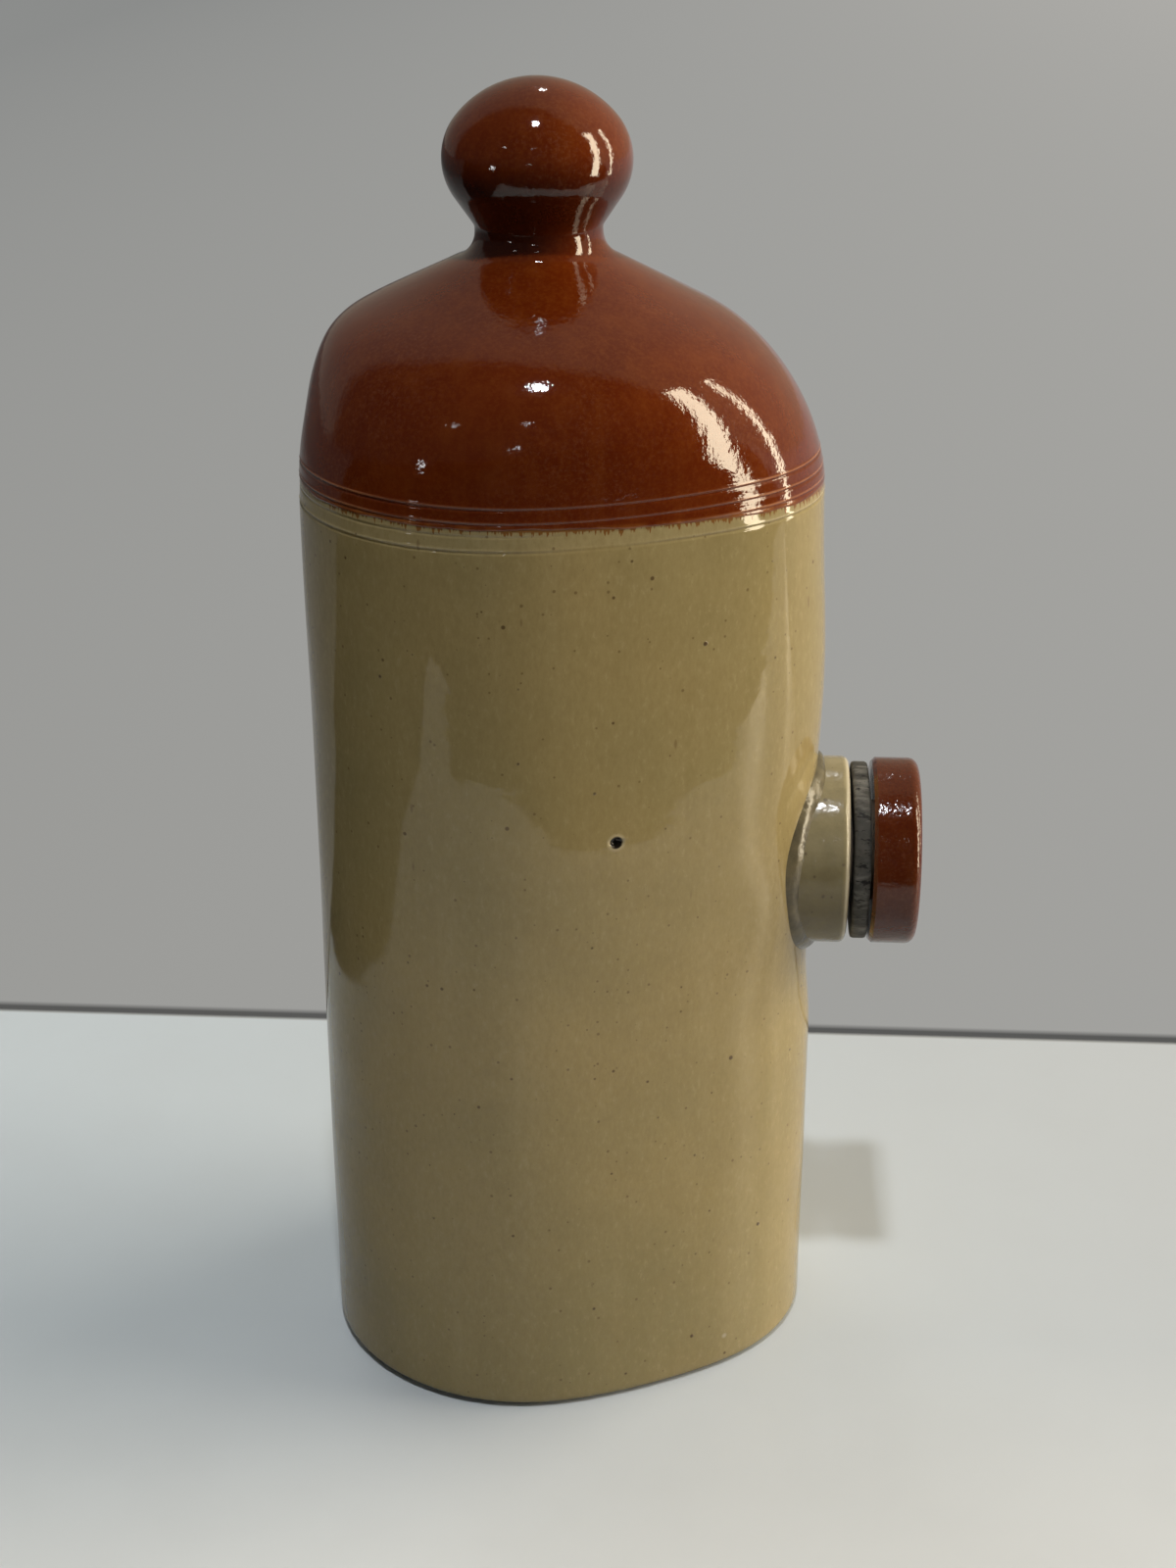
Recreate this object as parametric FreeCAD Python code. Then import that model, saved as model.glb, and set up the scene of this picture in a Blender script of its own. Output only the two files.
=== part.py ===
import FreeCAD, Part
import math
import os

# Stoneware hot water bottle, in millimetres.
# +Z is up, +X points out of the filler neck. The origin is where the knob's axis meets the base plane.

# Plan section of the thrown body: round at the back, flatter on the flanks, fuller towards the neck.
# Its arcs are shares of the reach, so that the section keeps its shape at any size.
reach_neck = 60.0                       # from the knob's axis to the wall on the neck side
nose_radius = 0.6333 * reach_neck       # plan radius of the wall round the neck
flank_radius = 2.0 * reach_neck         # plan radius of the flatter flanks
back_radius = 0.75 * reach_neck         # plan radius of each rounded back corner
back_centre_x = -0.095 * reach_neck     # where those two corner arcs are struck from
back_centre_y = 0.1 * reach_neck
flat_depth = 1.1                        # how far the back is flattened, to lie on
reach_underside = back_radius - back_centre_x - flat_depth

# Upright form
wall = 6.5                  # fired wall of barrel and dome
base_thickness = 8.0
base_round = 2.5            # rounded lower edge
barrel_top = 200.0          # where the wall starts to lean in
glaze_line = 205.0          # the brown dip starts here, and the dome is joined on
shoulder_radius = 44.5      # round of the shoulder
crown_slope = 27.0          # degrees, the straight rise to the knob
squeeze_low = 203.0         # below this the dome has the body's full plan section
squeeze_high = 236.0        # above this the dome is still round, as it was thrown

# Lines turned into the clay: three above the glaze edge, one below
ring_heights = [211.0, 208.0, 205.6, 202.4]
ring_depth = 0.45
ring_width = 0.9

# Knob
waist_radius = 13.1
waist_round = 5.5           # hollow round where the waist runs into the dome
waist_rise = 1.2            # plain length of the waist
knob_radius = 19.3
knob_side_radius = 0.67 * knob_radius   # round of the knob's widest part
knob_top_radius = 1.1 * knob_radius     # flatter round of its crown
knob_under_slope = 55.0     # degrees, the underside's rise
crease_round = 1.5          # soft corner between waist and underside

# Filler neck
neck_height = 118.0         # its axis above the base
neck_radius = 20.9
lip_stand = 7.5             # from the wall to the end face of the neck
lip_x = reach_neck + lip_stand
lip_round = 1.6
lip_chamfer = 1.0           # eased mouth of the bore
neck_depth = 22.0           # from the lip to the collar's inner end

# Roll of clay that lutes the neck to the wall
roll_thickness = 3.6
roll_sink = 0.5             # how far its middle lies inside the neck's surface

# Screw thread, shaped by hand and loose
thread_pitch = 6.5
thread_root = 11.2          # radius of the shank between the turns
thread_height = 1.7
thread_foot = 4.0           # width of a turn at the shank
thread_crest = 2.0          # width of a turn at its top
thread_play = 0.4           # clearance on every side of a turn
thread_bite = 0.4           # how far a turn's foot is sunk into the shank

# Stopper and washer
washer_radius = 20.2
washer_thickness = 4.5
washer_round = 0.5
washer_bore_play = 0.3
seat_gap = 0.4              # the stopper is not screwed right home
head_gap = 0.25             # between washer and head
head_radius = 20.8
head_thickness = 10.3
head_round = 2.2            # outer edge of the head
head_chamfer = 0.8          # edge beside the washer
shank_length = 26.5
shank_chamfer = 1.2
grip_radius = 15.6          # hollow in the outer face
grip_depth = 5.5
grip_bar = 8.0              # bar left across the hollow, to turn it by
grip_round = 1.2


def vec(x, y, z):
    return FreeCAD.Vector(x, y, z)


X_AXIS = vec(1, 0, 0)
Y_AXIS = vec(0, 1, 0)
Z_AXIS = vec(0, 0, 1)
CENTRE = vec(0, 0, 0)


def flank_centre():
    """Centre of the flank arc, which runs tangent into the nose arc and the back arc."""
    nose_x = reach_neck - nose_radius
    span_x = nose_x - back_centre_x
    span_y = back_centre_y
    span = math.hypot(span_x, span_y)
    to_back = flank_radius - back_radius
    to_nose = flank_radius - nose_radius
    along = (to_back ** 2 - to_nose ** 2 + span ** 2) / (2 * span)
    across = math.sqrt(to_back ** 2 - along ** 2)
    x = back_centre_x + (along * span_x - across * span_y) / span
    y = back_centre_y - (along * span_y + across * span_x) / span
    return x, y


def ray_to_arc(angle, x, y, radius):
    """How far a ray from the axis runs before it leaves the circle about (x, y)."""
    reach = x * math.cos(angle) + y * math.sin(angle)
    return reach + math.sqrt(reach ** 2 - x ** 2 - y ** 2 + radius ** 2)


def section_radius(angle, inset=0.0):
    """Plan radius of the body at an angle from the neck, or of a line inset from it."""
    turn = abs((angle + math.pi) % (2 * math.pi) - math.pi)
    flank_x, flank_y = flank_centre()
    nose_x = reach_neck - nose_radius
    nose_end = math.atan2(-flank_y, nose_x - flank_x)
    nose_join = math.atan2(nose_radius * math.sin(nose_end), nose_x + nose_radius * math.cos(nose_end))
    back_end = math.atan2(back_centre_y - flank_y, back_centre_x - flank_x)
    back_join = math.atan2(back_centre_y + back_radius * math.sin(back_end),
                           back_centre_x + back_radius * math.cos(back_end))
    if turn < nose_join:
        return ray_to_arc(turn, nose_x, 0, nose_radius - inset)
    if turn < back_join:
        return ray_to_arc(turn, flank_x, flank_y, flank_radius - inset)
    return ray_to_arc(turn, back_centre_x, back_centre_y, back_radius - inset)


def profile_radius(height, inset=0.0):
    """Radius of the round dome at a height, before it is squeezed to the plan section."""
    arc = shoulder_radius - inset
    arc_x = reach_neck - shoulder_radius
    join_height, join_radius = crown_start(inset)
    if height <= join_height:
        return arc_x + math.sqrt(arc ** 2 - (height - barrel_top) ** 2)
    return join_radius - (height - join_height) / math.tan(math.radians(crown_slope))


def crown_start(inset=0.0):
    """Height and radius at which the shoulder's arc runs into the straight crown."""
    arc = shoulder_radius - inset
    slope = math.radians(crown_slope)
    height = barrel_top + arc * math.cos(slope)
    radius = reach_neck - shoulder_radius + arc * math.sin(slope)
    return height, radius


def squeeze(height):
    """How much of the plan section the form has at a height: 1 on the barrel, 0 on the crown."""
    t = (squeeze_high - height) / (squeeze_high - squeeze_low)
    t = min(max(t, 0.0), 1.0)
    return t * t * (3 - 2 * t)


def section_wire(height, inset=0.0, steps=40):
    """Closed outline of the body at a height."""
    level = max(height, barrel_top)
    across = profile_radius(level, inset) / (reach_neck - inset)
    share = squeeze(level)
    points = []
    for step in range(steps):
        angle = 2 * math.pi * step / steps
        shape = section_radius(angle, inset) / (reach_neck - inset)
        radius = (reach_neck - inset) * across * (1 + share * (shape - 1))
        points.append(vec(radius * math.cos(angle), radius * math.sin(angle), height))
    curve = Part.BSplineCurve()
    curve.interpolate(points, PeriodicFlag=True)
    return Part.Wire([curve.toShape()])


def body_form(low, inset, end_radius, steps=8):
    """The thrown form as one solid, from a height up to where the crown has narrowed to a radius."""
    prism = Part.Face(section_wire(low, inset)).extrude(vec(0, 0, barrel_top - low))
    join_height, join_radius = crown_start(inset)
    rise = join_height - barrel_top
    shares = [(1 - math.cos(math.pi * step / steps)) / 2 for step in range(steps + 1)]
    wires = [section_wire(barrel_top + share * rise, inset) for share in shares]
    shoulder = Part.makeLoft(wires, True, False)
    crown_rise = (join_radius - end_radius) * math.tan(math.radians(crown_slope))
    crown = Part.makeLoft([wires[-1], section_wire(join_height + crown_rise, inset)], True, True)
    return prism.fuse([shoulder, crown])


def slab(low, high):
    """Everything between two heights."""
    size = 4 * reach_neck
    return Part.makeBox(size, size, high - low, vec(-size / 2, -size / 2, low))


def along_neck(shape):
    """Carries a shape made about Z, with the lip at z = 0, on to the neck's axis."""
    placed = shape.copy()
    placed.rotate(CENTRE, Y_AXIS, 90)
    placed.translate(vec(lip_x, 0, neck_height))
    return placed


def underside_cut():
    """What is taken off to leave the flat that the bottle lies on."""
    size = 4 * reach_neck
    return Part.makeBox(size, size, 3 * size, vec(-size - reach_underside, -size / 2, -size))


def ring_line(height):
    """Cutter for one turned line, which follows the form at its height."""
    low = height - ring_width / 2
    outside = slab(low, low + ring_width)
    core = Part.Face(section_wire(height, ring_depth))
    core.translate(vec(0, 0, -ring_width))
    return outside.cut(core.extrude(vec(0, 0, 2 * ring_width)))


def luting_path(radius, steps=24):
    """Closed curve on the wall's surface, at a radius from the neck's axis."""
    nose_x = reach_neck - nose_radius
    points = []
    for step in range(steps):
        turn = 2 * math.pi * (step + 0.5) / steps
        y = radius * math.cos(turn)
        x = nose_x + math.sqrt(nose_radius ** 2 - y ** 2)
        points.append(vec(x, y, neck_height + radius * math.sin(turn)))
    curve = Part.BSplineCurve()
    curve.interpolate(points, PeriodicFlag=True)
    return curve


def make_roll(outer):
    """Roll of clay smoothed into the corner between neck and wall."""
    curve = luting_path(neck_radius - roll_sink)
    start = curve.value(curve.FirstParameter)
    tangent = curve.tangent(curve.FirstParameter)[0]
    sweep = Part.BRepOffsetAPI.MakePipeShell(Part.Wire([curve.toShape()]))
    sweep.setBiNormalMode(X_AXIS)
    sweep.add(Part.Wire([Part.makeCircle(roll_thickness / 2, start, tangent)]))
    sweep.build()
    sweep.makeSolid()
    return sweep.shape().cut(neck_core()).cut(outer)


def screw_turns(z_from, z_to, play=0.0):
    """Helical turns about Z, in step wherever they start, with play added on every side."""
    foot = thread_foot / 2 + play
    crest = thread_crest / 2 + play
    top = thread_root + thread_height + play
    sunk = thread_root - thread_bite
    corners = [vec(sunk, 0, -foot), vec(top, 0, -crest), vec(top, 0, crest), vec(sunk, 0, foot)]
    helix = Part.makeHelix(thread_pitch, z_to - z_from, thread_root)
    profile = Part.makePolygon(corners + corners[:1])
    turns = Part.Wire(helix.Edges).makePipeShell([profile], True, True)
    turns.translate(vec(0, 0, z_from))
    turns.rotate(CENTRE, Z_AXIS, 360 * z_from / thread_pitch)
    return turns


def round_edges(shape, z, radius):
    """Level circular edges of a turned shape, found by height and radius."""
    found = []
    for edge in shape.Edges:
        level = abs(edge.BoundBox.ZMin - z) < 1e-4 and abs(edge.BoundBox.ZMax - z) < 1e-4
        if level and abs(edge.Length - 2 * math.pi * radius) < 1e-3:
            found.append(edge)
    return found


def neck_core():
    """Solid that fills the neck's outside, through the wall."""
    return along_neck(Part.makeCylinder(neck_radius, 2 * neck_depth, vec(0, 0, -neck_depth)))


def make_outer():
    """The outside of the thrown form as a full solid, with its flat underside."""
    top_height, top_radius = crown_top()
    return body_form(0.0, 0.0, top_radius).cut(underside_cut())


def make_shell(outer):
    """The thrown walls, from the base plane to the foot of the knob."""
    inner = body_form(base_thickness, wall, waist_radius)
    return outer.cut(inner).cut(neck_core())


def make_base(shell):
    """Bottom slab, with its lower edge rounded and bare of glaze."""
    slab_solid = shell.common(slab(0, base_thickness))
    rim = [edge for edge in slab_solid.Edges if edge.BoundBox.ZMax < 1e-4]
    return slab_solid.makeFillet(base_round, rim)


def make_barrel(shell):
    """Cream-glazed wall between the base and the glaze line."""
    barrel = shell.common(slab(base_thickness, glaze_line))
    for height in ring_heights:
        if height < glaze_line:
            barrel = barrel.cut(ring_line(height))
    return barrel


def make_dome(shell):
    """Brown-glazed shoulder above the glaze line, with its turned lines."""
    dome = shell.common(slab(glaze_line, 2 * barrel_top))
    for height in ring_heights:
        if height > glaze_line:
            dome = dome.cut(ring_line(height))
    return dome


def crown_top():
    """Height and radius at which the crown meets the knob's flared foot."""
    join_height, join_radius = crown_start()
    slope = math.radians(crown_slope)
    radius = waist_radius + waist_round * (1 - math.sin(slope))
    height = join_height + (join_radius - radius) * math.tan(slope)
    return height, radius


def polar(centre_x, centre_z, radius, degrees):
    """Point on an upright circle in the plane of a turned profile."""
    angle = math.radians(degrees)
    return vec(centre_x + radius * math.cos(angle), 0, centre_z + radius * math.sin(angle))


def make_knob():
    """Solid knob: flared foot, waist, sloping underside and a rounded crown."""
    foot_z, foot_radius = crown_top()
    hollow_x = waist_radius + waist_round
    waist_z = foot_z + waist_round * math.cos(math.radians(crown_slope))
    hollow_end = 270 - crown_slope
    under_z = waist_z + waist_rise

    side_x = knob_radius - knob_side_radius
    side_start = knob_under_slope - 90
    under_run = polar(side_x, 0, knob_side_radius, side_start).x - waist_radius
    under_rise = under_run * math.tan(math.radians(knob_under_slope))
    side_z = under_z + under_rise - polar(0, 0, knob_side_radius, side_start).z

    drop = math.sqrt((knob_top_radius - knob_side_radius) ** 2 - side_x ** 2)
    side_end = math.degrees(math.atan2(drop, side_x))
    top_z = side_z - drop

    foot = vec(foot_radius, 0, foot_z)
    waist_low = vec(waist_radius, 0, waist_z)
    waist_high = vec(waist_radius, 0, under_z)
    side_low = polar(side_x, side_z, knob_side_radius, side_start)
    side_high = polar(side_x, side_z, knob_side_radius, side_end)
    crown = vec(0, 0, top_z + knob_top_radius)
    centre = vec(0, 0, foot_z)
    edges = [
        Part.makeLine(centre, foot),
        Part.Arc(foot, polar(hollow_x, waist_z, waist_round, (180 + hollow_end) / 2), waist_low).toShape(),
        Part.makeLine(waist_low, waist_high),
        Part.makeLine(waist_high, side_low),
        Part.Arc(side_low, polar(side_x, side_z, knob_side_radius, (side_start + side_end) / 2),
                 side_high).toShape(),
        Part.Arc(side_high, polar(0, top_z, knob_top_radius, (side_end + 90) / 2), crown).toShape(),
        Part.makeLine(crown, centre),
    ]
    knob = Part.Face(Part.Wire(edges)).revolve(CENTRE, Z_AXIS, 360)
    return knob.makeFillet(crease_round, round_edges(knob, under_z, waist_radius))


def make_neck():
    """Collar set into the wall, with a rounded lip and a coarse thread cut in its bore."""
    collar = Part.makeCylinder(neck_radius, neck_depth, vec(0, 0, -neck_depth))
    collar = collar.makeFillet(lip_round, round_edges(collar, 0, neck_radius))
    collar = collar.cut(screw_turns(-neck_depth - thread_pitch, thread_pitch, thread_play))
    bore = thread_root + thread_play
    collar = collar.cut(Part.makeCylinder(bore, 3 * neck_depth, vec(0, 0, -2 * neck_depth)))
    mouth = Part.makeCone(bore, bore + lip_chamfer, lip_chamfer, vec(0, 0, -lip_chamfer))
    return along_neck(collar.cut(mouth))


def head_seat():
    """Height of the head's underside above the lip."""
    return seat_gap + washer_thickness + head_gap


def make_washer():
    """Flat rubber ring that seals the head against the lip."""
    outside = Part.makeCylinder(washer_radius, washer_thickness, vec(0, 0, seat_gap))
    rims = round_edges(outside, seat_gap, washer_radius)
    rims += round_edges(outside, seat_gap + washer_thickness, washer_radius)
    outside = outside.makeFillet(washer_round, rims)
    hole = Part.makeCylinder(thread_root + washer_bore_play, 2 * washer_thickness)
    return along_neck(outside.cut(hole))


def make_shank():
    """Threaded shank of the stopper, bare of glaze."""
    tip = head_seat() - shank_length
    shank = Part.makeCylinder(thread_root, shank_length, vec(0, 0, tip))
    shank = shank.makeChamfer(shank_chamfer, round_edges(shank, tip, thread_root))
    margin = thread_foot / 2 + shank_chamfer
    turns = screw_turns(tip + margin, -margin / 2 - thread_foot / 4 - thread_play)
    return along_neck(shank.fuse(turns).removeSplitter())


def make_head():
    """Glazed head of the stopper, hollowed in its outer face on both sides of a grip bar."""
    low = head_seat()
    high = low + head_thickness
    head = Part.makeCylinder(head_radius, head_thickness, vec(0, 0, low))
    head = head.makeFillet(head_round, round_edges(head, high, head_radius))
    head = head.makeChamfer(head_chamfer, round_edges(head, low, head_radius))
    floor = high - grip_depth
    hollow = Part.makeCylinder(grip_radius, 2 * grip_depth, vec(0, 0, floor))
    bar = Part.makeBox(4 * grip_radius, grip_bar, 4 * grip_depth,
                       vec(-2 * grip_radius, -grip_bar / 2, floor - grip_depth))
    halves = hollow.cut(bar)
    floor_edges = [edge for edge in halves.Edges if abs(edge.BoundBox.ZMax - floor) < 1e-4]
    halves = halves.makeFillet(grip_round, floor_edges)
    return along_neck(head.cut(halves))


def write_parts():
    """Writes one STEP file for each node."""
    os.makedirs("parts", exist_ok=True)
    outer = make_outer()
    shell = make_shell(outer)
    nodes = {
        "base_slab": make_base(shell),
        "body_barrel": make_barrel(shell),
        "shoulder_dome": make_dome(shell),
        "knob_handle": make_knob(),
        "luting_roll": make_roll(outer),
        "filler_neck": make_neck(),
        "rubber_washer": make_washer(),
        "stopper_shank": make_shank(),
        "stopper_head": make_head(),
    }
    for name, shape in nodes.items():
        print(name, shape.isValid(), len(shape.Solids), round(shape.Volume / 1000, 2), "cm3")
        shape.exportStep("parts/" + name + ".step")


write_parts()
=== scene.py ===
import math
import bpy
from mathutils import Matrix, Quaternion, Vector


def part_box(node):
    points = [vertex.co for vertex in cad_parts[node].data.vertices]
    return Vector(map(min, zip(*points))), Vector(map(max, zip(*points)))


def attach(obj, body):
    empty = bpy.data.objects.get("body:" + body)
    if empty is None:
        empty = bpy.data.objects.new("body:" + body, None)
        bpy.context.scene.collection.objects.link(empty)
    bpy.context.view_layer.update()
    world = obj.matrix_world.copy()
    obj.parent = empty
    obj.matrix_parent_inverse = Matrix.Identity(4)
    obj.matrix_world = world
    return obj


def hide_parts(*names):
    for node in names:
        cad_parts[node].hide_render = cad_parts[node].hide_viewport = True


# Looks of a stoneware hot water bottle, in metres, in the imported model's frame.

# Plan section of the body: nose round the neck, flatter flanks, rounded back, flat underside
REACH_NECK = 0.060
NOSE_RADIUS = 0.6333 * REACH_NECK
FLANK_RADIUS = 2.0 * REACH_NECK
BACK_RADIUS = 0.75 * REACH_NECK
BACK_X = -0.095 * REACH_NECK
BACK_Y = 0.1 * REACH_NECK
REACH_UNDERSIDE = 0.0496
UNDERSIDE_EASE = 0.00015       # softness of the flat's long edges
JOIN_EASE = math.radians(8)    # the arcs are eased into each other over this much turn

# Upright form
WALL = 0.0065
BASE_THICKNESS = 0.008
BASE_ROUND = 0.0025
FOOT_LIFT = 0.0013             # how far the foot's warped edge stands off the shelf
FOOT_LIFT_TURN = math.radians(-130)
FOOT_LIFT_SPREAD = 0.75
GLAZED_FOOT = 0.25             # share of the foot's round that is wiped bare
BARREL_TOP = 0.200
SHOULDER_RADIUS = 0.0445
CROWN_SLOPE = math.radians(27)
SQUEEZE_LOW = 0.203            # the full plan section holds up to here
SQUEEZE_HIGH = 0.236           # from here up the form is round
GLAZE_LINE = 0.2048            # mean height of the brown glaze's lower edge
GLAZE_TILT = 0.0018            # it was dipped a little askew
GLAZE_TILT_TURN = math.radians(-135)
CREAM_TOP = 0.2085             # the cream glaze runs on this far under the brown
CREAM_TUCK_START = 0.2065
BROWN_LEVEL = 0.2073           # the brown skin's rings run level above this

# Swells of the wall near the neck: rise, turn from the neck and its spread, height and its spread
NECK_SWELLS = ((0.0015, 0.0, 0.6, 0.160, 0.026), (0.0015, -0.42, 0.16, 0.113, 0.016))
LOW_SWELL = 0.0011             # rise of the wall below the neck
LOW_SWELL_SPREAD = 0.6
LOW_SWELL_TOP = 0.092
LOW_SWELL_FADE = 0.018

# Pushes of the flattened side: depth inwards, height and its spread
UNDERSIDE_PUSHES = ((0.0025, 0.2235, 0.0115), (-0.0024, 0.240, 0.0072), (0.0006, 0.135, 0.035))
UNDERSIDE_PUSH_FADE = 1.5

# Thrown clay's wobble, which only takes clay away
WOBBLE_MEAN = 0.00028
WOBBLE_SLOW = 0.00008
WOBBLE_QUICK = 0.00003

# Turned lines: height, depth
RINGS = ((0.2110, 0.00026), (0.2080, 0.00022), (0.2056, 0.00012), (0.2024, 0.00022))
RING_SPREAD = 0.00025
RING_DROP = 0.0005             # each line is a fine ridge with a groove this far below it
RING_WORN_TURN = math.radians(-72)     # the lines are filled with glaze on this side
RING_WORN_SPREAD = 0.42
RING_WORN_SHARE = 0.8

# A burst bubble in the cream glaze
PIT_ANGLE = math.radians(-68)
PIT_HEIGHT = 0.139
PIT_RADIUS = 0.0013
PIT_DEPTH = 0.0009
PIT_POINT = (0.0182, -0.0451, PIT_HEIGHT)
CHIP_POINT = (0.0426, -0.0319, 0.0082)

# Knob
WAIST_RADIUS = 0.0131
WAIST_ROUND = 0.0055
WAIST_RISE = 0.0012
KNOB_RADIUS = 0.0193
KNOB_SIDE_RADIUS = 0.67 * KNOB_RADIUS
KNOB_TOP_RADIUS = 1.1 * KNOB_RADIUS
KNOB_UNDER_SLOPE = math.radians(55)
KNOB_LEAN = -0.0125            # sideways shift for each metre of rise
WAIST_SHADE_HEIGHT = 0.2615           # painted shade: the waist under the knob is darkened about here, where the glaze also gathered thick

# Filler neck
NECK_HEIGHT = 0.118
NECK_RADIUS = 0.0209
NECK_HOLE = 0.0190             # the skins stop here, inside the collar's clay
LIP_X = REACH_NECK + 0.0075

# Washer, worn thin
WASHER_THICKNESS = 0.0037
WASHER_BORE = 0.0115
WASHER_TILT = -0.014           # its lower edge hangs away from the lip
WASHER_EDGE = 0.0007           # round of its worn rim
WASHER_RIM = 0.004             # width of the band that wear has reached

TURNS = 360                    # points round each ring of a skin
PIT_SPREAD = 0.12              # turn over which those points draw together towards the pit


def circle_point(centre_x, centre_z, radius, angle):
    return centre_x + radius * math.cos(angle), centre_z + radius * math.sin(angle)


def smooth(t):
    t = min(max(t, 0.0), 1.0)
    return t * t * (3 - 2 * t)


def hump(value, middle, spread):
    """1 at the middle, falling off smoothly on both sides."""
    return math.exp(-((value - middle) / spread) ** 2)


def flank_centre():
    """Centre of the flank arc, tangent to the nose arc and the back arc."""
    nose_x = REACH_NECK - NOSE_RADIUS
    span_x = nose_x - BACK_X
    span_y = BACK_Y
    span = math.hypot(span_x, span_y)
    to_back = FLANK_RADIUS - BACK_RADIUS
    to_nose = FLANK_RADIUS - NOSE_RADIUS
    along = (to_back ** 2 - to_nose ** 2 + span ** 2) / (2 * span)
    across = math.sqrt(to_back ** 2 - along ** 2)
    x = BACK_X + (along * span_x - across * span_y) / span
    y = BACK_Y - (along * span_y + across * span_x) / span
    return x, y


def ray_to_arc(angle, x, y, radius):
    reach = x * math.cos(angle) + y * math.sin(angle)
    return reach + math.sqrt(reach ** 2 - x ** 2 - y ** 2 + radius ** 2)


def sharp_section(angle):
    """Plan radius of the three arcs at an angle from the neck."""
    turn = abs((angle + math.pi) % (2 * math.pi) - math.pi)
    flank_x, flank_y = flank_centre()
    nose_x = REACH_NECK - NOSE_RADIUS
    nose_end = math.atan2(-flank_y, nose_x - flank_x)
    nose_join = math.atan2(NOSE_RADIUS * math.sin(nose_end), nose_x + NOSE_RADIUS * math.cos(nose_end))
    back_end = math.atan2(BACK_Y - flank_y, BACK_X - flank_x)
    back_join = math.atan2(BACK_Y + BACK_RADIUS * math.sin(back_end),
                           BACK_X + BACK_RADIUS * math.cos(back_end))
    if turn < nose_join:
        return ray_to_arc(turn, nose_x, 0, NOSE_RADIUS)
    if turn < back_join:
        return ray_to_arc(turn, flank_x, flank_y, FLANK_RADIUS)
    return ray_to_arc(turn, BACK_X, BACK_Y, BACK_RADIUS)


def section(angle):
    """The plan radius with its joins eased, as a hand would leave them."""
    samples = [sharp_section(angle + share * JOIN_EASE) for share in (-1, -0.5, 0, 0.5, 1)]
    return sum(samples) / len(samples)


def spaced(low, high, step):
    count = max(1, round((high - low) / step))
    return [low + (high - low) * i / count for i in range(count + 1)]


def all_angles():
    """Angles round the body, closer together near the pit."""
    angles = []
    for step in range(TURNS):
        angle = 2 * math.pi * step / TURNS - math.pi
        share = (angle - PIT_ANGLE) / PIT_SPREAD
        angles.append(angle - 0.85 * PIT_SPREAD * share * math.exp(-share ** 2))
    return angles


ANGLES = all_angles()
SECTIONS = {angle: section(angle) for angle in ANGLES}


def crown_start():
    height = BARREL_TOP + SHOULDER_RADIUS * math.cos(CROWN_SLOPE)
    radius = REACH_NECK - SHOULDER_RADIUS + SHOULDER_RADIUS * math.sin(CROWN_SLOPE)
    return height, radius


def crown_top():
    """Height and radius at which the crown meets the knob's flared foot."""
    join_height, join_radius = crown_start()
    radius = WAIST_RADIUS + WAIST_ROUND * (1 - math.sin(CROWN_SLOPE))
    return join_height + (join_radius - radius) * math.tan(CROWN_SLOPE), radius


def profile_radius(height):
    join_height, join_radius = crown_start()
    if height <= BARREL_TOP:
        return REACH_NECK
    if height <= join_height:
        rise = height - BARREL_TOP
        return REACH_NECK - SHOULDER_RADIUS + math.sqrt(SHOULDER_RADIUS ** 2 - rise ** 2)
    return join_radius - (height - join_height) / math.tan(CROWN_SLOPE)


def signed_turn(angle):
    return (angle + math.pi) % (2 * math.pi) - math.pi


def neck_swell(angle, height):
    """The wall bulges a little above and below the neck, and beside it where it was luted on."""
    turn = signed_turn(angle)
    total = LOW_SWELL * hump(turn, 0, LOW_SWELL_SPREAD) * smooth((LOW_SWELL_TOP - height) / LOW_SWELL_FADE)
    for rise, middle, spread, level, reach in NECK_SWELLS:
        total += rise * hump(turn, middle, spread) * hump(height, level, reach)
    return total


def underside_push(angle, height):
    """The flattened side leans in below the crown, where it was pressed, and swells just above."""
    share = max(0.0, -math.cos(angle)) ** UNDERSIDE_PUSH_FADE
    return share * sum(depth * hump(height, level, spread) for depth, level, spread in UNDERSIDE_PUSHES)


def pit(angle, height):
    """Depth of the burst bubble at a point of the wall."""
    away = math.hypot(signed_turn(angle - PIT_ANGLE) * REACH_NECK * 0.8, (height - PIT_HEIGHT) * 1.25)
    rim = 0.00008 * hump(away, PIT_RADIUS * 1.25, 0.0002)
    return PIT_DEPTH * smooth((PIT_RADIUS - away) / 0.0005) - rim


def hand_wobble(angle, height):
    """Thrown clay is never quite true. The wobble only takes clay away, so the bottle keeps its box."""
    slow = math.sin(2 * angle + 31 * height + 0.6) + math.sin(3 * angle - 57 * height + 2.1)
    quick = math.sin(5 * angle + 140 * height) + math.sin(90 * height + 1.3 * math.sin(angle))
    return -WOBBLE_MEAN - WOBBLE_SLOW * slow - WOBBLE_QUICK * quick


def groove(height, angle):
    """Depth of the turned lines: fine ridges, each with a groove just below it, filled in front."""
    total = 0.0
    worn = 1 - RING_WORN_SHARE * hump(signed_turn(angle - RING_WORN_TURN), 0, RING_WORN_SPREAD)
    for level, depth in RINGS:
        total += depth * hump(height, level - RING_DROP, RING_SPREAD)
        total -= 0.4 * depth * hump(height, level, RING_SPREAD)
    return total * worn


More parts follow.
